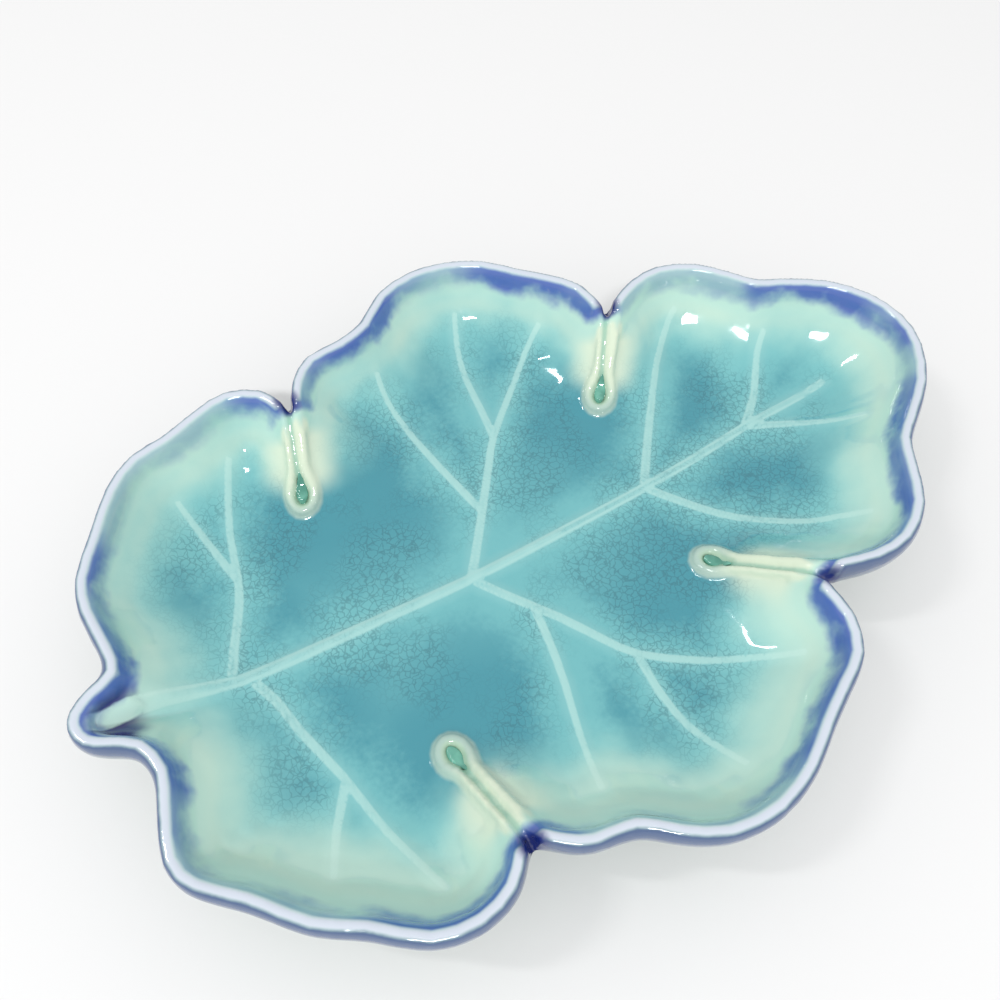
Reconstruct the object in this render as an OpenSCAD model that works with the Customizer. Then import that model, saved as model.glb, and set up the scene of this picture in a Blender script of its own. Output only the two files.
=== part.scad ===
// Leaf-shaped ring dish: five lobes pinched at four folds, with a rolled rim, raised veins and a low foot.
// The origin is on the table under the middle of the leaf, +X runs from the stem to the tip, +Z is up.

/* [Leaf] */
// Length of the leaf along the crest of its rim, from the end of the stem to the tip
leaf_length = 120; // [108:1:136]
// Width of the leaf across the crest of its rim
leaf_width = 87.4; // [78:0.2:100]
// Height of the rim's crest above the table
dish_height = 15; // [13:0.5:20]

/* [Shell] */
// Thickness of the clay under the flat floor
floor_thickness = 3.3; // [2.8:0.1:4.5]
// Thickness of the clay where the wall runs up to the rim
wall_thickness = 2.6; // [2.2:0.1:3]
// Width of the wall's top, which the rim rolls over
wall_top_width = 2.2; // [1.6:0.1:2.4]
// Gap left between the clay and what lies on it, for ribs, ridges and glass
seat_clearance = 0.12; // [0.08:0.01:0.15]
// How far the inner wall runs in from the rim before it is flat floor
wall_run = 14; // [11:0.5:17]
// How far the outer wall runs in from the rim before it is flat base
outer_run = 10; // [8:0.5:10.5]

/* [Rim] */
// Width of the rolled rim
rim_width = 2.8; // [2.5:0.1:3.4]
// Height of the rolled rim from its lowest point to its crest
rim_depth = 2.8; // [2.6:0.1:3.4]

/* [Folds] */
// Width of each of the two ridges that meet along a fold
fold_width = 1.4; // [1.2:0.1:1.8]
// Height of a fold's ridges above the clay beside them
fold_rise = 1.3; // [1:0.1:1.8]
// Width of the groove between the two ridges of a fold
groove_width = 0.3; // [0.2:0.05:0.5]
// Width of the blind hollow at the inner end of a fold, between its ridges
hollow_width = 2; // [1.6:0.1:2.6]
// Length of that hollow along the fold
hollow_length = 5; // [4.2:0.1:6]
// Height of the clay that swells up under the ridges of a fold
swell_height = 2; // [1:0.1:2.6]
// Width of that swelling to either side of the fold
swell_width = 4; // [3:0.1:5]

/* [Veins] */
// Width of the midrib at the stem
midrib_width = 1.6; // [1.3:0.1:2.2]
// Height of the midrib above the floor
midrib_rise = 0.6; // [0.4:0.05:0.9]
// Width of a side vein where it leaves the midrib
vein_width = 1; // [0.8:0.1:1.4]
// Height of a side vein above the floor
vein_rise = 0.4; // [0.3:0.05:0.6]

/* [Glaze] */
// Depth of the glass that has pooled in the hollow of each fold
pool_depth = 0.7; // [0.4:0.05:1]

/* [Foot] */
// Height of the foot ring, from the table to the flat base
foot_height = 1.2; // [0.8:0.1:1.8]
// Length of the foot ring along the leaf
foot_length = 68; // [60:1:70]
// Width of the foot ring across the leaf
foot_width = 38; // [32:1:38]
// Width of the ring's own band of clay
foot_band = 3; // [2:0.1:4]
// How far the middle of the foot lies from the middle of the leaf, toward the stem
foot_shift = 5; // [3:0.5:7]

/* [Hidden] */

// The plan is drawn on a leaf 120 mm long and 87.4 mm wide, and stretched to the sizes above.
drawn_length = 120;
drawn_width = 87.4;
function plan(points) = [for (p = points) [p[0] * leaf_length / drawn_length, p[1] * leaf_width / drawn_width]];

// Crest of the rim, lobe by lobe round the leaf, starting at the tip and going by the left side.
tip_upper = [
    [60, 0.5], [59, 6], [55.5, 11], [50, 14.7], [46.5, 16.5],
    [44, 19.8], [40.5, 23.8], [35.5, 26], [30.5, 25.5], [26.7, 23.8]
];
middle_left = [
    [23.5, 25], [23, 29], [20.5, 32.7], [16.5, 36.7], [13, 40.5], [8, 43], [2.5, 43.7],
    [-3, 42.2], [-7.5, 38.4], [-12, 36.8], [-17, 36.2], [-20, 33.5], [-21.3, 31.1]
];
base_left = [
    [-24, 31.2], [-25.5, 34], [-29.5, 36], [-34, 35], [-39, 33.1], [-43.5, 32.2],
    [-47.5, 29], [-51, 23.8], [-54.3, 18.5], [-55, 14], [-54.4, 8.5], [-54.6, 5.3]
];
stem = [[-57.5, 4], [-59.5, 2.6], [-60, 1], [-59.3, -1], [-57.3, -2.3]];
base_right = [
    [-54.5, -4.3], [-53.3, -8], [-54.3, -12], [-55.4, -17], [-54, -20.5], [-50, -24.2],
    [-45.5, -29.3], [-41, -32.3], [-36, -36.3], [-31, -37.4], [-27, -36.3], [-24.7, -34.1]
];
middle_right = [
    [-21.7, -33.8], [-20.2, -35.2], [-17.5, -36.8], [-13, -37.6], [-9.5, -40.4], [-5, -43.1], [1, -43.7],
    [6.5, -42.1], [11, -39.5], [15.5, -37.2], [19.5, -35], [21.7, -31], [21.8, -27]
];
tip_lower = [
    [25.5, -25.5], [30, -26.8], [35, -26.7], [40, -23.8], [43.3, -19],
    [45.5, -15.7], [49, -13.3], [54.5, -9.5], [58.5, -4.5]
];

// Each fold runs in from its mouth at the rim to the end of its loop on the floor.
TIP_LEFT = 0;
BASE_LEFT = 1;
BASE_RIGHT = 2;
TIP_RIGHT = 3;
fold_mouths = plan([[24.5, 22.2], [-22.8, 29.3], [-23, -32], [22.8, -23.8]]);
fold_ends = plan([[17.7, 14.2], [-27, 19.8], [-25.3, -17.7], [15.8, -12.8]]);
// Where the wall dips in behind the mouth of each fold
dents = [[24.9, 23.3], [-22.7, 29.9], [-23, -32.7], [23.2, -24.6]];

crest_points = plan(concat(
    tip_upper, [dents[TIP_LEFT]], middle_left, [dents[BASE_LEFT]], base_left, stem,
    base_right, [dents[BASE_RIGHT]], middle_right, [dents[TIP_RIGHT]], tip_lower
));

// The first and last crest point of each stretch of rim, as places in crest_points
tip_first = -len(tip_lower);
tip_last = len(tip_upper) - 1;
middle_left_first = tip_last + 2;
middle_left_last = middle_left_first + len(middle_left) - 1;
base_left_first = middle_left_last + 2;
base_left_last = base_left_first + len(base_left) - 1;
base_right_last = base_left_last + len(stem) + len(base_right);
middle_right_first = base_right_last + 2;
middle_right_last = middle_right_first + len(middle_right) - 1;

// Midrib, side veins and their branches, each from its root outward
midrib_points = plan([
    [-56, 2.1], [-51.5, 2.2], [-45.5, 1.8], [-42.5, 1.4], [-34, 0.8], [-25, 0.3], [-12, -0.5],
    [2, -0.5], [16, -0.3], [26, 0.2], [35, 1], [43, 1.2], [50, 1.3]
]);
base_left_points = plan([[-44.3, 1.8], [-42.7, 5.5], [-39.7, 11.7], [-38.5, 15.5], [-37, 22], [-34.3, 28], [-32.8, 30.5]]);
base_right_points = plan([[-42.3, 1.2], [-40.6, -3], [-39.5, -8], [-37.2, -15.7], [-35.6, -23.3], [-32.5, -32.5]]);
middle_left_points = plan([
    [-12, -0.5], [-10.3, 1.6], [-6.2, 7], [-0.7, 14.4], [2.1, 18], [8.3, 23.8], [13.5, 28.2], [17, 30]
]);
middle_right_points = plan([
    [-12, -0.5], [-9.7, -4.1], [-4.8, -11], [-1.9, -15.8], [1.2, -20.3], [7.2, -24.7], [12.3, -27.8], [17, -31.2]
]);
tip_left_points = plan([[16, -0.3], [20.9, 5.8], [25.6, 11.4], [29.8, 16.4], [34.6, 20.8], [36.5, 21.8]]);
tip_right_points = plan([[16, -0.3], [20.7, -6.8], [24.5, -10.9], [29.8, -14.9], [35, -18.2], [37.5, -20.5]]);
point_left_points = plan([[35, 1], [40.2, 5.2], [43.8, 9.9], [46, 11.8]]);
point_right_points = plan([[35, 1], [41, -1.9], [45.5, -4.9], [48.7, -7.6]]);
branch_base_left_points = plan([[-38.6, 14.6], [-39.6, 19], [-40.8, 25], [-41.3, 27.5]]);
branch_base_right_points = plan([[-37.3, -16], [-40.4, -20.6], [-42.4, -25.5]]);
branch_inner_left_points = plan([[-5.6, 7.9], [-7.2, 17], [-8.4, 25.7], [-9, 30.5], [-8.6, 33.5]]);
branch_outer_left_points = plan([[2.1, 18], [3, 23.6], [3.9, 29.8], [5.2, 34.6], [7, 38.5]]);
branch_inner_right_points = plan([[-6.9, -8], [-7.7, -13.2], [-8.9, -18.6], [-10.7, -24.7], [-12.7, -32]]);
branch_outer_right_points = plan([[1, -20.2], [0.5, -25.5], [1, -30.8], [2.1, -34.7], [2.9, -38]]);

// Heights that follow from the sizes above
floor_z = foot_height + floor_thickness;
edge_z = dish_height - 1;
crest_steps = 2;
glaze_colour = [0.42, 0.72, 0.74];
vein_colour = [0.66, 0.86, 0.84];
rim_colour = [0.74, 0.8, 0.87];
pool_colour = [0.25, 0.5, 0.42];
clay_colour = [0.85, 0.8, 0.72];

function smooth(t) = let (c = min(1, max(0, t))) c * c * (3 - 2 * c);
function mix(a, b, t) = a + (b - a) * t;
function unit(v) = v / norm(v);
function left_of(v) = [-v[1], v[0]];

// A point on the curve through b and c, with a and d as its neighbours
function curve(a, b, c, d, t) =
    0.5 * (2 * b + (c - a) * t + (2 * a - 5 * b + 4 * c - d) * t * t + (3 * b - a - 3 * c + d) * t * t * t);
function closed_curve(points, steps) = let (n = len(points)) [
    for (i = [0 : n - 1], s = [0 : steps - 1])
        curve(points[(i + n - 1) % n], points[i], points[(i + 1) % n], points[(i + 2) % n], s / steps)
];
function open_curve(points, steps) = let (n = len(points)) concat([
    for (i = [0 : n - 2], s = [0 : steps - 1])
        curve(points[max(0, i - 1)], points[i], points[i + 1], points[min(n - 1, i + 2)], s / steps)
], [points[n - 1]]);

crest = closed_curve(crest_points, crest_steps);
crest_count = len(crest);
function crest_at(i) = crest[(i % crest_count + crest_count) % crest_count];
function inward_at(i) = left_of(unit(crest_at(i + 1) - crest_at(i - 1)));

// Distance from a point to the crest line between two of its stations
function segment_distance(p, a, b) = let (
    along = b - a,
    t = min(1, max(0, (p - a) * along / (along * along)))
) norm(p - a - along * t);
function edge_distance(p, middle, reach) =
    min([for (k = [-reach : reach - 1]) segment_distance(p, crest_at(middle + k), crest_at(middle + k + 1))]);

// Inner surface of the shell: flat floor, a wall that sweeps up to the rim, and a swelling along each fold
function wall_z(d) = floor_z + (edge_z - floor_z) * pow(max(0, 1 - d / wall_run), 2);
function fold_swell(p, k) = let (
    axis = fold_mouths[k] - fold_ends[k],
    t = (p - fold_ends[k]) * axis / (axis * axis),
    side = norm(p - fold_ends[k] - axis * min(1.1, max(0, t)))
) smooth((t - 0.1) / 0.5) * smooth(1 - side / (2 * swell_width));
function inside_z(p, middle, reach) = let (
    wall = wall_z(edge_distance(p, middle, reach)),
    low = (edge_z - wall) / (edge_z - floor_z),
    swell = max([for (k = [0 : len(fold_ends) - 1]) fold_swell(p, k)])
) wall + swell_height * swell * low;
function surface_z(p) = inside_z(p, 0, ceil(crest_count / 2));

// Outer surface of the shell, from the flat base up to the underside of the rim
wall_slope = 2 * (edge_z - floor_z) / wall_run;
under_rim_z = edge_z - wall_thickness * sqrt(1 + wall_slope * wall_slope);
function outside_z(d) = foot_height + (under_rim_z - foot_height) * pow(max(0, 1 - d / outer_run), 1.5);

// Leaf body: each station of the crest sends a spoke to the middle line of the leaf, where both sides meet
spine_tip = leaf_length * 0.38;
spine_stem = -leaf_length * 0.43;
inner_steps = [0.05, 0.11, 0.18, 0.25, 0.32, 0.39, 0.46, 0.57, 0.78];
outer_steps = [0.04, 0.1, 0.17, 0.26, 0.5];
function spine_x(i) = mix(spine_tip, spine_stem, min(i, crest_count - i) / (crest_count / 2));
function spoke_point(i, t) = let (
    root = crest_at(i) + inward_at(i) * wall_top_width / 2,
    hub = [spine_x(i), 0]
) mix(root, hub, t);
spoke_window = 24;
function inside_point(i, t) = let (p = spoke_point(i, t)) [p[0], p[1], inside_z(p, i, spoke_window)];
function outside_point(i, t) = let (p = spoke_point(i, t))
    [p[0], p[1], outside_z(edge_distance(p, i, spoke_window))];
function edge_point(i, side, z) = let (p = crest_at(i) + inward_at(i) * side) [p[0], p[1], z];
wall_top_z = wall_z(wall_top_width / 2);

module leaf_shell() {
    half = wall_top_width / 2;
    rows = concat(
        [for (t = [len(inner_steps) - 1 : -1 : 0]) [for (i = [0 : crest_count - 1]) inside_point(i, inner_steps[t])]],
        [[for (i = [0 : crest_count - 1]) edge_point(i, half, wall_top_z)]],
        [[for (i = [0 : crest_count - 1]) edge_point(i, -half, wall_top_z)]],
        [[for (i = [0 : crest_count - 1]) edge_point(i, -half * 0.9, wall_top_z - 1.7)]],
        [[for (i = [0 : crest_count - 1]) edge_point(i, 0, outside_z(0))]],
        [for (s = outer_steps) [for (i = [0 : crest_count - 1]) outside_point(i, s)]]
    );
    row_count = len(rows);
    half_count = crest_count / 2;
    hubs = [for (i = [0 : half_count]) [spine_x(i), 0]];
    top_hubs = [for (p = hubs) [p[0], p[1], surface_z(p)]];
    base_hubs = [for (p = hubs) [p[0], p[1], outside_z(edge_distance(p, 0, half_count))]];
    first_top = row_count * crest_count;
    first_base = first_top + len(hubs);
    function at(r, i) = r * crest_count + i % crest_count;
    function hub(first, i) = first + min(i % crest_count, crest_count - i % crest_count);
    ring_faces = [
        for (r = [0 : row_count - 2], i = [0 : crest_count - 1])
            each [[at(r, i), at(r, i + 1), at(r + 1, i + 1)], [at(r, i), at(r + 1, i + 1), at(r + 1, i)]]
    ];
    top_faces = [
        for (i = [0 : crest_count - 1])
            each [[hub(first_top, i), hub(first_top, i + 1), at(0, i + 1)], [hub(first_top, i), at(0, i + 1), at(0, i)]]
    ];
    last = row_count - 1;
    base_faces = [
        for (i = [0 : crest_count - 1])
            each [
                [at(last, i), at(last, i + 1), hub(first_base, i + 1)],
                [at(last, i), hub(first_base, i + 1), hub(first_base, i)]
            ]
    ];
    polyhedron(concat([for (r = rows) each r], top_hubs, base_hubs), concat(top_faces, ring_faces, base_faces));
}

// A closed solid through rings of points, each ring listed in the same order
module skin(rings) {
    n = len(rings[0]);
    last = (len(rings) - 1) * n;
    polyhedron(
        [for (r = rings) each r],
        concat(
            [for (k = [1 : n - 2]) [0, k, k + 1]],
            [for (r = [0 : len(rings) - 2], k = [0 : n - 1])
                let (a = r * n + k, b = r * n + (k + 1) % n)
                each [[a, a + n, b + n], [a, b + n, b]]],
            [for (k = [1 : n - 2]) [last, last + k + 1, last + k]]
        )
    );
}

function direction(path, i) = let (
    ahead = path[min(len(path) - 1, i + 1)],
    behind = path[max(0, i - 1)]
) unit([ahead[0] - behind[0], ahead[1] - behind[1]]);
// Top of the clay under a rib or a ridge, which never stands above the top of the wall
function clay_z(p) = min(wall_top_z, surface_z(p) + seat_clearance);

// One side of a fold, from the end of its loop round the hollow and straight on to the mouth
function fold_axis(k) = unit(fold_mouths[k] - fold_ends[k]);
function fold_point(k, along, aside) = fold_ends[k] + fold_axis(k) * along + left_of(fold_axis(k)) * aside;
loop_half = (hollow_width + fold_width) / 2;
loop_turn = hollow_length * 0.45;
ridge_half = (groove_width + fold_width) / 2;
function fold_side(k, side) = let (stretch = norm(fold_mouths[k] - fold_ends[k])) concat(
    [for (a = [0 : 22.5 : 90]) fold_point(k, loop_turn * (1 - cos(a)), side * loop_half * sin(a))],
    [for (t = [0.33, 0.67, 1])
        fold_point(k, mix(loop_turn, hollow_length, t), side * mix(loop_half, ridge_half, smooth(t)))],
    [for (t = [0.25 : 0.25 : 1]) fold_point(k, mix(hollow_length, stretch, t), side * ridge_half)]
);
function backward(path) = [for (i = [len(path) - 1 : -1 : 0]) path[i]];

// Rolled rim: an oval roll seated on the flat top of the wall, which narrows toward the mouth of a fold
arch = [for (a = [0 : 22.5 : 180]) [cos(a), sin(a)]];
function rim_ring(i) = let (
    p = crest_at(i),
    across = inward_at(i),
    near = min([for (m = fold_mouths) norm(p - m)]),
    half_w = mix(fold_width, rim_width, smooth(near / 6)) / 2,
    half_h = rim_depth / 2,
    seat = wall_top_width / 2,
    profile = concat(
        [[-seat, wall_top_z], [seat, wall_top_z]],
        [for (q = arch) [q[0] * half_w, dish_height - half_h + q[1] * half_h]]
    )
) [for (q = profile) [p[0] + across[0] * q[0], p[1] + across[1] * q[0], q[1]]];
// Ridge of a fold: the same roll, smaller, which runs down from the rim to the end of its loop on the floor
function ridge_ring(path, i, turn) = let (
    p = path[i],
    across = left_of(turn == undef ? direction(path, i) : turn),
    half_w = fold_width / 2,
    seat = half_w * 0.9,
    crest_z = min(dish_height, surface_z(p) + fold_rise),
    half_h = fold_rise * 0.6,
    feet = [for (side = [-seat, seat]) let (q = p + across * side) [q[0], q[1], clay_z(q)]],
    bulge = max(0, clay_z(p) - (feet[0][2] + feet[1][2]) / 2)
) concat(
    [for (foot = feet) foot + [0, 0, bulge]],
    [for (q = arch)
        [p[0] + across[0] * q[0] * half_w, p[1] + across[1] * q[0] * half_w, crest_z - half_h + q[1] * half_h]]
);
// The two ridges of a fold end face to face on one plane, square to the loop.
function ridge_rings(k, side) = let (path = fold_side(k, side)) [
    for (i = [0 : len(path) - 1]) ridge_ring(path, i, i == 0 ? left_of(fold_axis(k)) * side : undef)
];
// Seen along the way that the rim runs, a ridge that goes back into a fold is turned round.
function turned(ring) = concat(
    [ring[1], ring[0]],
    [for (k = [len(ring) - 1 : -1 : 2]) ring[k]]
);
module rim(first_fold, first, last, last_fold) {
    skin(concat(
        first_fold == undef ? [] : ridge_rings(first_fold, 1),
        [for (i = [first * crest_steps : last * crest_steps]) rim_ring(i)],
        last_fold == undef ? [] : [for (r = backward(ridge_rings(last_fold, -1))) turned(r)]
    ));
}

// Glass that has pooled in the hollow at the inner end of a fold, level where it is deep enough
pool_reach = loop_turn - fold_width / 2 - seat_clearance;
pool_half = loop_half - fold_width / 2 - seat_clearance;
module pool(k) {
    level = clay_z(fold_point(k, loop_turn, 0)) + pool_depth;
    round_end = [for (a = [15 : 15 : 90]) [loop_turn - pool_reach * cos(a), pool_half * sin(a)]];
    long_end = [
        for (t = [0.3, 0.55, 0.8])
            [mix(loop_turn, hollow_length, t), pool_half - (loop_half - ridge_half) * smooth(t)]
    ];
    skin([
        for (q = concat(round_end, long_end))
            let (
                right = fold_point(k, q[0], -q[1]),
                left = fold_point(k, q[0], q[1]),
                base = max(clay_z(right), clay_z(left), clay_z((left + right) / 2)),
                top = max(level, base + pool_depth / 3)
            )
            [for (corner = [concat(right, base), concat(left, base), concat(left, top), concat(right, top)]) corner]
    ]);
}

// A rib is its path, its width and its rise at the root, and the share of both that is left at its far end.
midrib_rib = [midrib_points, midrib_width, midrib_rise, 0.55];
function side_rib(points) = [points, vein_width, vein_rise, 0.5];
function branch_rib(points) = [points, vein_width * 0.85, vein_rise * 0.85, 0.5];
rib_steps = 2;
function rib_path(rib) = open_curve(rib[0], rib_steps);
function left_over(rib, t) = mix(1, rib[3], t);

// Half-round section of a rib, from its left foot over the top to its right foot
rib_profile = [[1, 0], [0.8, 0.55], [0.35, 0.95], [-0.35, 0.95], [-0.8, 0.55], [-1, 0]];
function rib_ring(p, across, half_w, rise) = [
    for (q = rib_profile)
        let (r = p + across * q[0] * half_w)
        [r[0], r[1], clay_z(r) + q[1] * rise]
];
// The root of a rib is cut along the side of the rib that it leaves.
function nearest(path, p) = let (
    distances = [for (q = path) norm(q - p)],
    least = min(distances)
) [for (i = [0 : len(path) - 1]) if (distances[i] == least) i][0];
module rib(rib, parent) {
    path = rib_path(rib);
    last = len(path) - 1;
    out = direction(path, 0);
    stem_path = parent == undef ? path : rib_path(parent);
    place = nearest(stem_path, path[0]);
    along = direction(stem_path, place);
    lean = parent == undef ? 1 : abs(left_of(along) * out);
    parent_half = parent == undef ? 0 : parent[1] * left_over(parent, place / (len(stem_path) - 1)) / 2;
    start = parent == undef ? 0 : (parent_half + seat_clearance) / lean;
    across = parent == undef ? left_of(out) : along * sign(along * left_of(out)) / lean;
    skin(concat(
        [rib_ring(path[0] + out * start, across, rib[1] / 2, rib[2])],
        [for (i = [1 : last])
            if (norm(path[i] - path[0]) > start + rib[1] * 0.8)
                let (share = left_over(rib, i / last))
                rib_ring(path[i], left_of(direction(path, i)), rib[1] * share / 2, rib[2] * share)]
    ));
}

// Foot: an oval ring of bare clay that the flat base stands on
function oval(length, width) = [for (a = [0 : 5 : 355]) [length / 2 * cos(a), width / 2 * sin(a)]];

module leaf_body() { color(glaze_colour) leaf_shell(); }
module foot_ring() {
    color(clay_colour)
        translate([-foot_shift, 0, 0])
            linear_extrude(foot_height)
                difference() {
                    polygon(oval(foot_length, foot_width));
                    polygon(oval(foot_length - 2 * foot_band, foot_width - 2 * foot_band));
                }
}
module midrib() { color(vein_colour) rib(midrib_rib, undef); }
module rim_tip() { color(rim_colour) rim(TIP_RIGHT, tip_first, tip_last, TIP_LEFT); }
module rim_middle_left() { color(rim_colour) rim(TIP_LEFT, middle_left_first, middle_left_last, BASE_LEFT); }
module rim_base_left() { color(rim_colour) rim(BASE_LEFT, base_left_first, base_left_last, undef); }
module rim_base_right() { color(rim_colour) rim(undef, base_left_last, base_right_last, BASE_RIGHT); }
module rim_middle_right() { color(rim_colour) rim(BASE_RIGHT, middle_right_first, middle_right_last, TIP_RIGHT); }
module vein_base_left() { color(vein_colour) rib(side_rib(base_left_points), midrib_rib); }
module vein_base_right() { color(vein_colour) rib(side_rib(base_right_points), midrib_rib); }
module vein_middle_left() { color(vein_colour) rib(side_rib(middle_left_points), midrib_rib); }
module vein_middle_right() { color(vein_colour) rib(side_rib(middle_right_points), midrib_rib); }
module vein_tip_left() { color(vein_colour) rib(side_rib(tip_left_points), midrib_rib); }
module vein_tip_right() { color(vein_colour) rib(side_rib(tip_right_points), midrib_rib); }
module vein_point_left() { color(vein_colour) rib(side_rib(point_left_points), midrib_rib); }
module vein_point_right() { color(vein_colour) rib(side_rib(point_right_points), midrib_rib); }
module branch_base_left() { color(vein_colour) rib(branch_rib(branch_base_left_points), side_rib(base_left_points)); }
module branch_base_right() { color(vein_colour) rib(branch_rib(branch_base_right_points), side_rib(base_right_points)); }
module branch_inner_left() { color(vein_colour) rib(branch_rib(branch_inner_left_points), side_rib(middle_left_points)); }
module branch_outer_left() { color(vein_colour) rib(branch_rib(branch_outer_left_points), side_rib(middle_left_points)); }
module branch_inner_right() { color(vein_colour) rib(branch_rib(branch_inner_right_points), side_rib(middle_right_points)); }
module branch_outer_right() { color(vein_colour) rib(branch_rib(branch_outer_right_points), side_rib(middle_right_points)); }
module pool_tip_left() { color(pool_colour) pool(TIP_LEFT); }
module pool_base_left() { color(pool_colour) pool(BASE_LEFT); }
module pool_base_right() { color(pool_colour) pool(BASE_RIGHT); }
module pool_tip_right() { color(pool_colour) pool(TIP_RIGHT); }

leaf_body();
foot_ring();
midrib();
rim_tip();
rim_middle_left();
rim_base_left();
rim_base_right();
rim_middle_right();
vein_base_left();
vein_base_right();
vein_middle_left();
vein_middle_right();
vein_tip_left();
vein_tip_right();
vein_point_left();
vein_point_right();
branch_base_left();
branch_base_right();
branch_inner_left();
branch_outer_left();
branch_inner_right();
branch_outer_right();
pool_tip_left();
pool_base_left();
pool_base_right();
pool_tip_right();
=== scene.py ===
import math
import bmesh
import bpy
import numpy as np
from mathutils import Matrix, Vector
from mathutils.bvhtree import BVHTree


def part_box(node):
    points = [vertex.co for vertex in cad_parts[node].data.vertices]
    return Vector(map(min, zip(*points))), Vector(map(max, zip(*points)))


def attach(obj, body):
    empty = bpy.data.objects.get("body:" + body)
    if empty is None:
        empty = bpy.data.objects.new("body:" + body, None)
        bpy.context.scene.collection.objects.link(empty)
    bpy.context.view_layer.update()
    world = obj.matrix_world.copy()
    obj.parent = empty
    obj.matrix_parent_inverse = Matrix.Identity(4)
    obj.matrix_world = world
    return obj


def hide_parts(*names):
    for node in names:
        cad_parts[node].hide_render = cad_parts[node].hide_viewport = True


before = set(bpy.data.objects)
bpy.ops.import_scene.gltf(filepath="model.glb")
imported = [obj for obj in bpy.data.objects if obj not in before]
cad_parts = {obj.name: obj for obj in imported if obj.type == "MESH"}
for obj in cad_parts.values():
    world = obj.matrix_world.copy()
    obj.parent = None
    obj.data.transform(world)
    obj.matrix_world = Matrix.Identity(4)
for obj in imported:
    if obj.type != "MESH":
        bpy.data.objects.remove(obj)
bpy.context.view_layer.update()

scene = bpy.context.scene
scene.view_settings.view_transform = "Standard"

# Camera: a phone held close over the stem's left side, looking down across the dish.
# Its place, tilt and lens come from the leaf's own symmetry in the photograph.
FRAME_PIXELS = 1000
FOCAL_PIXELS = 850
camera_data = bpy.data.cameras.new("camera")
camera_data.sensor_width = 36
camera_data.lens = camera_data.sensor_width * FOCAL_PIXELS / FRAME_PIXELS
camera_data.clip_start = 0.005
camera = bpy.data.objects.new("camera", camera_data)
camera.location = (-0.03363, -0.04528, 0.10594)
camera.rotation_euler = (math.radians(90 - 58.6), 0, math.radians(-30.2))
scene.collection.objects.link(camera)
scene.camera = camera


# Glazed dish: one slip-cast piece of clay, so the bowl, its rolled rim, the pinched folds and the raised
# veins run into each other under one coat of glaze. The coat rounds every inside corner, which is why the
# clay solids are joined here by a fine remesh and then softened. Lengths are in metres.
VOXEL, QUICK_VOXEL = 0.00042, 0.0006
SOFTEN_ROUNDS = 5
GLAZE_TRIANGLES = 190000
# Points whose normal's z is below this are the underside, which is thinned this much more.
UNDERSIDE = -0.2
UNDERSIDE_THINNING = 2.0
rim_nodes = ["rim_tip", "rim_middle_left", "rim_base_left", "rim_base_right", "rim_middle_right"]
vein_nodes = [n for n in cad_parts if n.startswith(("vein_", "branch_"))] + ["midrib"]


def merged_copy(names):
    """One mesh of several clay solids, their loose triangles merged."""
    shape = bmesh.new()
    for name in names:
        shape.from_mesh(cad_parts[name].data)
    bmesh.ops.remove_doubles(shape, verts=shape.verts, dist=1e-6)
    mesh = bpy.data.meshes.new("joined_clay")
    shape.to_mesh(mesh)
    shape.free()
    return mesh


def applied(piece):
    """The mesh of a piece with its modifiers worked in."""
    return bpy.data.meshes.new_from_object(piece.evaluated_get(bpy.context.evaluated_depsgraph_get()))


def distance_to(names, points, reach):
    """How far each point lies from the nearest of some clay solids."""
    mesh = merged_copy(names)
    mesh.calc_loop_triangles()
    corners = [v.co for v in mesh.vertices]
    tree = BVHTree.FromPolygons(corners, [t.vertices for t in mesh.loop_triangles])
    bpy.data.meshes.remove(mesh)
    found = [tree.find_nearest(Vector(p), reach)[3] for p in points]
    return np.array([reach if d is None else d for d in found])


dish_clay = bpy.data.objects.new("dish_clay", merged_copy(["leaf_body", *rim_nodes, *vein_nodes]))
scene.collection.objects.link(dish_clay)
remesh = dish_clay.modifiers.new("join", "REMESH")
remesh.mode = "VOXEL"
remesh.voxel_size = VOXEL
soften = dish_clay.modifiers.new("soften", "SMOOTH")
soften.factor = 0.5
soften.iterations = SOFTEN_ROUNDS
dish_mesh = applied(dish_clay)
bpy.data.objects.remove(dish_clay)
dish = bpy.data.objects.new("glazed_dish", dish_mesh)
scene.collection.objects.link(dish)
# The plain underside needs fewer faces than the inside, whose colour is laid point by point.
triangles = sum(len(p.vertices) - 2 for p in dish_mesh.polygons)
if triangles > GLAZE_TRIANGLES:
    plain = dish.vertex_groups.new(name="plain")
    plain.add([v.index for v in dish_mesh.vertices if v.normal.z < UNDERSIDE], 1.0, "REPLACE")
    thin = dish.modifiers.new("thin", "DECIMATE")
    thin.vertex_group = "plain"
    thin.vertex_group_factor = UNDERSIDE_THINNING
    thin.ratio = GLAZE_TRIANGLES / triangles
    thinned = applied(dish)
    dish.modifiers.clear()
    dish.vertex_groups.clear()
    dish.data = dish_mesh = thinned
dish_mesh.shade_smooth()

# How the glaze lies follows from where each point is: across the rim, beside a vein, in a fold.
points = np.empty(len(dish_mesh.vertices) * 3)
dish_mesh.vertices.foreach_get("co", points)
points = points.reshape(-1, 3)
pool_nodes = [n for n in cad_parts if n.startswith("pool_")]


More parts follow.
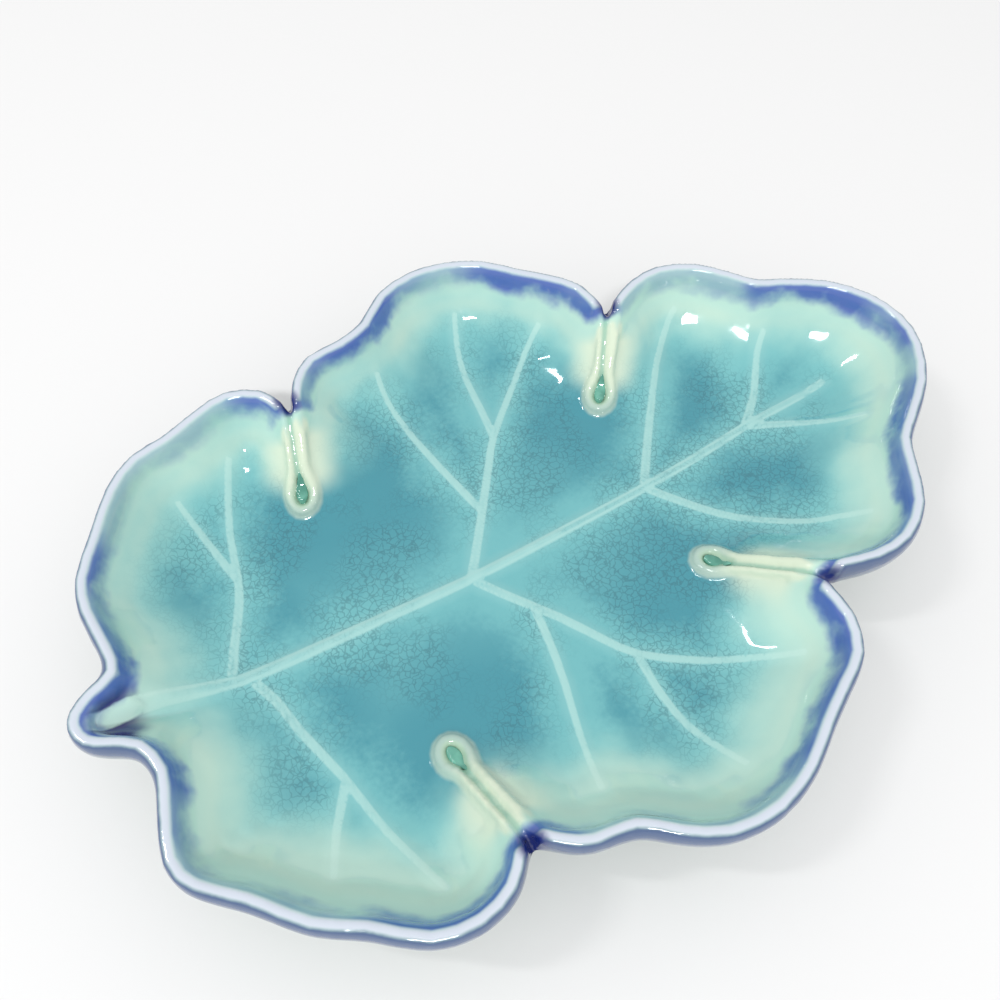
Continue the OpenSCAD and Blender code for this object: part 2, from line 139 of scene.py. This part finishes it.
def crest_line():
    """The top of the rolled rim in plan, read off the rim's own clay and put in order round the leaf."""
    tops = {}
    crest_z = max(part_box(name)[1][2] for name in rim_nodes)
    for name in rim_nodes:
        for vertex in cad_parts[name].data.vertices:
            if vertex.co.z > crest_z - TOP_MARGIN:
                tops[(round(vertex.co.x, 5), round(vertex.co.y, 5))] = (vertex.co.x, vertex.co.y)
    left = np.array(list(tops.values()))
    here = int(left[:, 0].argmax())
    ordered = [left[here]]
    left = np.delete(left, here, axis=0)
    while len(left):
        here = int(np.hypot(*(left - ordered[-1]).T).argmin())
        ordered.append(left[here])
        left = np.delete(left, here, axis=0)
    return np.array(ordered)


def off_line(plan, start, end):
    """Distance in plan from a straight line, and how far along it the nearest point lies, 0 to 1."""
    along = end - start
    share = np.clip(((plan - start) @ along) / (along @ along), 0, 1)
    return np.hypot(*(plan - start - share[:, None] * along).T), share


def inside_crest(plan):
    """Distance from the crest line in plan, positive towards the middle of the leaf."""
    distance = np.full(len(plan), 1.0)
    crossings = np.zeros(len(plan), dtype=int)
    for start, end in zip(crest, np.roll(crest, -1, axis=0)):
        distance = np.minimum(distance, off_line(plan, start, end)[0])
        rise = end[1] - start[1]
        if abs(rise) > 1e-12:
            spans = (start[1] > plan[:, 1]) != (end[1] > plan[:, 1])
            side = start[0] + (end[0] - start[0]) * (plan[:, 1] - start[1]) / rise
            crossings += spans & (plan[:, 0] < side)
    return np.where(crossings % 2 == 1, distance, -distance)


def middle_of(pool):
    """The middle of a pool's box in plan."""
    low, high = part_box(pool)
    return (np.array(low[:2]) + np.array(high[:2])) / 2


def fold_mouth(pool):
    """Where the crest line breaks for the fold that ends at this pool."""
    middles, gaps = (crest + np.roll(crest, -1, axis=0)) / 2, np.roll(crest, -1, axis=0) - crest
    near = np.hypot(*(middles - middle_of(pool)).T) < FOLD_REACH
    return middles[int((np.hypot(*gaps.T) * near).argmax())]


def fold_line(pool):
    """Distance in plan from the groove that runs from a pool to its fold's mouth."""
    start, end = middle_of(pool), fold_mouth(pool)
    return off_line(points[:, :2], start + (end - start) * GROOVE_START, end)[0]


def fade(values, none, full):
    """0 where a value is at or past none, 1 at or past full, and straight between them."""
    return np.clip((values - none) / (full - none), 0, 1)


def hump(distance, half):
    """A rounded rise across a line: 1 on it and 0 from half its width on."""
    return np.clip(1 - (distance / half) ** 2, 0, 1)


def relax(rows, share, rounds):
    """Draws each point towards the middle of its neighbours, by its own share."""
    a, b = rows[:, 0], rows[:, 1]
    count = np.bincount(np.concatenate([a, b]), minlength=len(points)).clip(1)
    for _ in range(rounds):
        total = np.zeros_like(points)
        np.add.at(total, a, points[b])
        np.add.at(total, b, points[a])
        points[:] += share[:, None] * (total / count[:, None] - points)


TOP_MARGIN = 1e-5
FOLD_REACH = 0.018
ROLL_HALF, FLANK_FULL = 0.0006, 0.0011
FLANK_FADES, FLANK_END = 0.0032, 0.0042
WALL_HEIGHT, WALL_FULL = 0.009, 0.010
FLANK_ROUNDS = 40
VEIN_FILLET, VEIN_FULL = 0.0012, 0.0006
VEIN_ROUNDS = 9
RELAX_SHARE = 0.5
STEM_ROOT = np.array([-0.0545, 0.0021])
STEM_HALF, STEM_RISE, STEM_MARGIN = 0.0011, 0.0005, 0.0012
STEM_FADES = 2 / 3
GROOVE_DEPTH, GROOVE_HALF, GROOVE_START = 0.0007, 0.0007, 0.12
UPPER_SIDE = 0.1
SEARCH_REACH, VEIN_REACH = 0.03, 0.02
crest = crest_line()
# The coat bridges the crease under the roll, so both flanks of the rim run smoothly into the wall.
off_crest = np.abs(inside_crest(points[:, :2]))
flank = fade(off_crest, ROLL_HALF, FLANK_FULL) * fade(off_crest, FLANK_END, FLANK_FADES)
flank *= fade(points[:, 2], WALL_HEIGHT, WALL_FULL)
edges = np.empty(len(dish_mesh.edges) * 2, dtype=int)
dish_mesh.edges.foreach_get("vertices", edges)
edges = edges.reshape(-1, 2)
relax(edges, RELAX_SHARE * flank, FLANK_ROUNDS)
by_vein = distance_to(vein_nodes, points, VEIN_REACH)
relax(edges, RELAX_SHARE * fade(by_vein, VEIN_FILLET, VEIN_FULL), VEIN_ROUNDS)
# The midrib runs out on the stem and dies away just inside the rim's tip.
stem_end = crest[int(crest[:, 0].argmin())]
stem_stop = np.array([stem_end[0] + STEM_MARGIN, stem_end[1]])
by_stem, along_stem = off_line(points[:, :2], STEM_ROOT, stem_stop)
upper = np.array([v.normal.z for v in dish_mesh.vertices]) > UPPER_SIDE
points[:, 2] += upper * STEM_RISE * hump(by_stem, STEM_HALF) * fade(along_stem, 1, STEM_FADES)
# The two ridges of a fold were pressed together, and a thin groove stays between them.
groove = np.min([fold_line(name) for name in pool_nodes], axis=0)
points[:, 2] -= upper * GROOVE_DEPTH * hump(groove, GROOVE_HALF)
dish_mesh.vertices.foreach_set("co", points.ravel())
dish_mesh.update()
mouths = [fold_mouth(name) for name in pool_nodes]
by_stem = np.maximum(by_stem - STEM_HALF * 0.7, 0)
# The material reads these from the finished shape, distances in millimetres and upward as the normal's z.
measures = {
    "crest": inside_crest(points[:, :2]) * 1000,
    "to_rim": distance_to(rim_nodes, points, SEARCH_REACH) * 1000,
    "to_vein": np.minimum(distance_to(vein_nodes, points, VEIN_REACH), by_stem) * 1000,
    "to_pool": distance_to(pool_nodes, points, SEARCH_REACH) * 1000,
    "to_mouth": np.min([np.hypot(*(points[:, :2] - m).T) for m in mouths], axis=0) * 1000,
    "to_groove": groove * 1000,
    "to_stem": np.hypot(*(points[:, :2] - stem_end).T) * 1000,
    "upward": np.array([v.normal.z for v in dish_mesh.vertices]),
}
for name, values in measures.items():
    attribute = dish_mesh.attributes.new(name, "FLOAT", "POINT")
    attribute.data.foreach_set("value", values.astype(np.float32))


# Shader sockets as plain arithmetic: an expression on values adds its own Math nodes.
class Wire:
    def __init__(self, tree, socket):
        self.tree, self.socket = tree, socket

    def math(self, operation, *values):
        node = self.tree.nodes.new("ShaderNodeMath")
        node.operation = operation
        for place, value in enumerate(values):
            fill(self.tree, node.inputs[place], value)
        return Wire(self.tree, node.outputs[0])

    def __add__(self, other): return self.math("ADD", self, other)
    def __radd__(self, other): return self.math("ADD", other, self)
    def __sub__(self, other): return self.math("SUBTRACT", self, other)
    def __rsub__(self, other): return self.math("SUBTRACT", other, self)
    def __mul__(self, other): return self.math("MULTIPLY", self, other)
    def __rmul__(self, other): return self.math("MULTIPLY", other, self)
    def larger(self, other): return self.math("MAXIMUM", self, other)
    def size(self): return self.math("ABSOLUTE", self)

    def ramp(self, low, high):
        """0 below low and 1 above high, eased between them."""
        return self.node("ShaderNodeMapRange", {"interpolation_type": "SMOOTHSTEP"},
                         {"Value": self, "From Min": low, "From Max": high})

    def node(self, kind, settings=None, values=None, output=0):
        return add_node(self.tree, kind, settings, values, output)

    def blend(self, first, second):
        """Mixes two colours, with this wire as the share of the second."""
        node = self.tree.nodes.new("ShaderNodeMix")
        node.data_type = "RGBA"
        fill(self.tree, node.inputs[0], self)
        fill(self.tree, node.inputs[6], first)
        fill(self.tree, node.inputs[7], second)
        return Wire(self.tree, node.outputs[2])


def fill(tree, socket, value):
    if isinstance(value, Wire):
        tree.links.new(value.socket, socket)
    elif isinstance(value, tuple) and len(value) == 3 and len(socket.default_value) == 4:
        socket.default_value = (*value, 1)
    else:
        socket.default_value = value


def add_node(tree, kind, settings=None, values=None, output=0):
    node = tree.nodes.new(kind)
    for name, value in (settings or {}).items():
        setattr(node, name, value)
    for name, value in (values or {}).items():
        fill(tree, node.inputs[name], value)
    return Wire(tree, node.outputs[output])


def srgb(red, green, blue):
    """A colour as it is seen, 0 to 255 a channel, in the linear values that a shader takes."""
    return tuple(((c / 255 + 0.055) / 1.055) ** 2.4 if c > 10 else c / 3294 for c in (red, green, blue))


def new_material(name):
    material = bpy.data.materials.new(name)
    material.use_nodes = True
    tree = material.node_tree
    return material, tree, tree.nodes["Principled BSDF"]


glaze, tree, shader = new_material("crackle_glaze")


def measure(name):
    return add_node(tree, "ShaderNodeAttribute", {"attribute_name": name}, output=2)


place = add_node(tree, "ShaderNodeTexCoord", output=3)
parts = add_node(tree, "ShaderNodeSeparateXYZ", values={"Vector": place}).socket.node.outputs
height, leftward = Wire(tree, parts[2]) * 1000, Wire(tree, parts[1]) * 1000
across, upward = measure("crest"), measure("upward")
to_rim, to_vein, to_pool = measure("to_rim"), measure("to_vein"), measure("to_pool")
to_mouth, to_stem, to_groove = measure("to_mouth"), measure("to_stem"), measure("to_groove")


def clouds(scale, detail=3.0):
    return add_node(tree, "ShaderNodeTexNoise", values={"Vector": place, "Scale": scale, "Detail": detail})


deep = srgb(58, 140, 154)
turquoise = srgb(104, 176, 180)
middle = srgb(122, 190, 190)
pale = srgb(184, 220, 206)
cream = srgb(214, 226, 202)
vein_pale = srgb(200, 232, 222)
groove_green = srgb(132, 186, 164)
# Crest colour: partly the pale thin glaze on the rim, partly a painted highlight along its top.
crest_pale_and_highlight = srgb(200, 208, 220)
cobalt = srgb(78, 106, 178)
navy = srgb(26, 42, 112)
green = srgb(84, 158, 134)
outer_green = srgb(98, 136, 126)
outer_blue = srgb(72, 94, 132)
crackle_dark = srgb(36, 92, 104)

# From the rim inward: pale where the coat ran thin on the wall, then aqua, then deep turquoise on the floor.
# Every pair in a ramp is where a colour begins and where it is full, in millimetres.
patches = clouds(70)
fine = clouds(420)
grain = clouds(1500, 2.0)
inward = across + leftward * 0.06 + (patches - 0.5) * 9 + (fine - 0.5) * 1.2
wall_colour = inward.ramp(2.0, 9.5).blend(pale, middle)
between_veins = (to_vein + (clouds(110, 4.0) - 0.5) * 9 + (grain - 0.5) * 3).ramp(0.5, 6.5)
deepness = between_veins * (1 - inward.ramp(18.0, 32.0) * 0.6)
floor_colour = inward.ramp(6.0, 13.0).blend(wall_colour, deepness.blend(turquoise, deep))

# Cream beside and on the folds, where the ridges stand up out of the coat, and a pale line on each vein.
near_fold = 1 - (to_rim + (patches - 0.5) * 3).ramp(0.2, 5.5)
beside_fold = near_fold * across.ramp(2.5, 4.5) * height.ramp(5.4, 8.0)
folded = (beside_fold * 0.85).blend(floor_colour, cream)
near_vein = 1 - (to_vein + (fine - 0.5) * 0.12).ramp(0.03, 0.3)
beside_vein = 1 - (to_vein + (fine - 0.5) * 0.8).ramp(0.0, 1.6)
veined = (near_vein * 0.34 + beside_vein * 0.1).blend(folded, vein_pale)
pooled = (1 - (to_pool + (fine - 0.5) * 0.6).ramp(0.2, 1.0)).blend(veined, green)
on_ridge = 1 - (to_rim + (fine - 0.5) * 0.2).ramp(0.02, 0.7)
ridged = (on_ridge * across.ramp(2.0, 3.0) * (0.55 + height.ramp(6.0, 9.0) * 0.35)).blend(pooled, cream)
in_groove = (1 - to_groove.ramp(0.1, 0.55)) * across.ramp(0.4, 1.2)
grooved = (in_groove * 0.7).blend(ridged, groove_green)

# The brushed cobalt line just inside the rim, uneven as a hand-run line is, and above it a pale band along
# the crest: partly the thin glaze there, partly a painted highlight along the top of the roll.
band_noise = clouds(210)
band_inner = across + (band_noise - 0.5) * 2.8
band_strength = 0.35 + clouds(48).ramp(0.42, 0.58) * 0.65
band = across.ramp(0.35, 0.85) * (1 - band_inner.ramp(1.0, 2.3)) * band_strength
banded = (band * height.ramp(9.0, 11.0)).blend(grooved, cobalt)
crest_glaze_and_highlight = 1 - (across - 0.12 + (fine - 0.5) * 0.2).size().ramp(0.2, 0.7)
crested = (crest_glaze_and_highlight * height.ramp(12.5, 14.2)).blend(banded, crest_pale_and_highlight)

# Outside, the coat is green low down and blue under the roll. Navy ran into the mouths and round the stem.
outer = (height + (patches - 0.5) * 6).ramp(8.0, 13.0).blend(outer_green, outer_blue)
past_crest = 1 - (across + (fine - 0.5) * 0.3).ramp(-0.6, -0.1)
outside = past_crest.larger(1 - upward.ramp(-0.3, 0.0))
walled = outside.blend(crested, outer)
at_mouth = 1 - (to_mouth + (fine - 0.5) * 0.8).ramp(0.9, 2.2)
at_stem = (1 - (to_stem + (band_noise - 0.5) * 3).ramp(4.5, 7.5)) * across.ramp(0.9, 1.5) * (1 - near_vein)
coloured = (at_mouth.larger(at_stem) * height.ramp(8.5, 11.0)).blend(walled, navy)

# Crackle: fine dark lines in the coat, plain to see only where it is thick.
CRACKLE_BEND = 0.0014
CRACKLE_CELLS = 1150.0
CRACKLE_WIDTH = 0.12
drift = add_node(tree, "ShaderNodeTexNoise", values={"Vector": place, "Scale": 700.0}, output=1)
bend = add_node(tree, "ShaderNodeVectorMath", {"operation": "SCALE"}, {0: drift, "Scale": CRACKLE_BEND})
warp = add_node(tree, "ShaderNodeVectorMath", {"operation": "ADD"}, {0: place, 1: bend})
cells = add_node(tree, "ShaderNodeTexVoronoi", {"feature": "DISTANCE_TO_EDGE"},
                 {"Vector": warp, "Scale": CRACKLE_CELLS})
lines = 1 - cells.ramp(0.0, CRACKLE_WIDTH)
thick_coat = inward.ramp(5.0, 12.0) * clouds(90).ramp(0.4, 0.6) * (1 - near_vein) * to_rim.ramp(0.4, 1.2)
final = (lines * thick_coat * 0.45).blend(coloured, crackle_dark)
fill(tree, shader.inputs["Base Color"], final)
fill(tree, shader.inputs["Roughness"], 0.07 + (fine - 0.5) * 0.04)
shader.inputs["IOR"].default_value = 1.52
shader.inputs["Coat Weight"].default_value = 0.6
shader.inputs["Coat Roughness"].default_value = 0.03
ripple = add_node(tree, "ShaderNodeBump",
                  values={"Strength": 0.12, "Distance": 0.0005, "Height": clouds(200, 2.0)})
fill(tree, shader.inputs["Normal"], ripple)
dish_mesh.materials.clear()
dish_mesh.materials.append(glaze)
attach(dish, "root")
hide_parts("leaf_body", *rim_nodes, *vein_nodes)

# Pooled glass: in the blind end of each fold the glaze ran together in the kiln and stood thick, green and
# bottle-clear. Each pool has melted on to the clay of its hollow, with a rounded skin.
pool_material, tree, shader = new_material("pooled_glass")
place = add_node(tree, "ShaderNodeTexCoord", output=3)
shade = add_node(tree, "ShaderNodeTexNoise", values={"Vector": place, "Scale": 500.0})
fill(tree, shader.inputs["Base Color"], shade.ramp(0.3, 0.7).blend(srgb(62, 134, 116), srgb(104, 176, 156)))
shader.inputs["Roughness"].default_value = 0.04
shader.inputs["Coat Weight"].default_value = 1.0
shader.inputs["Coat Roughness"].default_value = 0.02
for name in pool_nodes:
    mesh = merged_copy([name])
    pool = bpy.data.objects.new("glass_" + name, mesh)
    scene.collection.objects.link(pool)
    round_off = pool.modifiers.new("round", "SUBSURF")
    round_off.levels = round_off.render_levels = 2
    melted = applied(pool)
    pool.modifiers.clear()
    pool.data = melted
    melted.shade_smooth()
    melted.materials.clear()
    melted.materials.append(pool_material)
    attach(pool, "root")
    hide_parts(name)

# Foot: a low oval ring of clay under the dish, wiped free of glaze before the firing so that it can't
# stick to the kiln shelf. It shows the bare, slightly gritty body of the clay.
clay, tree, shader = new_material("bare_clay")
place = add_node(tree, "ShaderNodeTexCoord", output=3)
grit = add_node(tree, "ShaderNodeTexNoise", values={"Vector": place, "Scale": 900.0, "Detail": 6.0})
fill(tree, shader.inputs["Base Color"], grit.ramp(0.35, 0.7).blend(srgb(206, 190, 166), srgb(228, 217, 198)))
fill(tree, shader.inputs["Roughness"], 0.75 + grit * 0.15)
gritty = add_node(tree, "ShaderNodeBump", values={"Strength": 0.3, "Distance": 0.0002, "Height": grit})
fill(tree, shader.inputs["Normal"], gritty)
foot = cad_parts["foot_ring"]
foot.data.materials.clear()
foot.data.materials.append(clay)

# Studio: a plain pale table under the dish, one lamp like a window behind the camera and a narrower one to
# the left, and an even white room light. The table is stage and isn't part of the dish.
bpy.ops.mesh.primitive_plane_add(size=6)
floor = bpy.context.object
floor.name = "table"
table, tree, shader = new_material("pale_table")
shader.inputs["Base Color"].default_value = (0.8, 0.8, 0.8, 1)
shader.inputs["Roughness"].default_value = 0.9
shader.inputs["Specular IOR Level"].default_value = 0.1
floor.data.materials.append(table)


def lamp(name, place, target, width, depth, watts):
    data = bpy.data.lights.new(name, "AREA")
    data.shape = "RECTANGLE"
    data.size, data.size_y, data.energy = width, depth, watts
    obj = bpy.data.objects.new(name, data)
    obj.location = place
    obj.rotation_euler = (Vector(target) - Vector(place)).to_track_quat("-Z", "Y").to_euler()
    scene.collection.objects.link(obj)


DISH_MIDDLE = (0, 0, 0.01)
lamp("window", (-0.33, -0.5, 0.8), DISH_MIDDLE, width=0.3, depth=0.06, watts=4.2)
lamp("side", (-0.5, 0.3, 0.8), DISH_MIDDLE, width=0.05, depth=0.2, watts=1.2)
world = bpy.data.worlds.new("soft_room")
scene.world = world
world.use_nodes = True
world.node_tree.nodes["Background"].inputs["Color"].default_value = (1, 1, 1, 1)
world.node_tree.nodes["Background"].inputs["Strength"].default_value = 0.8
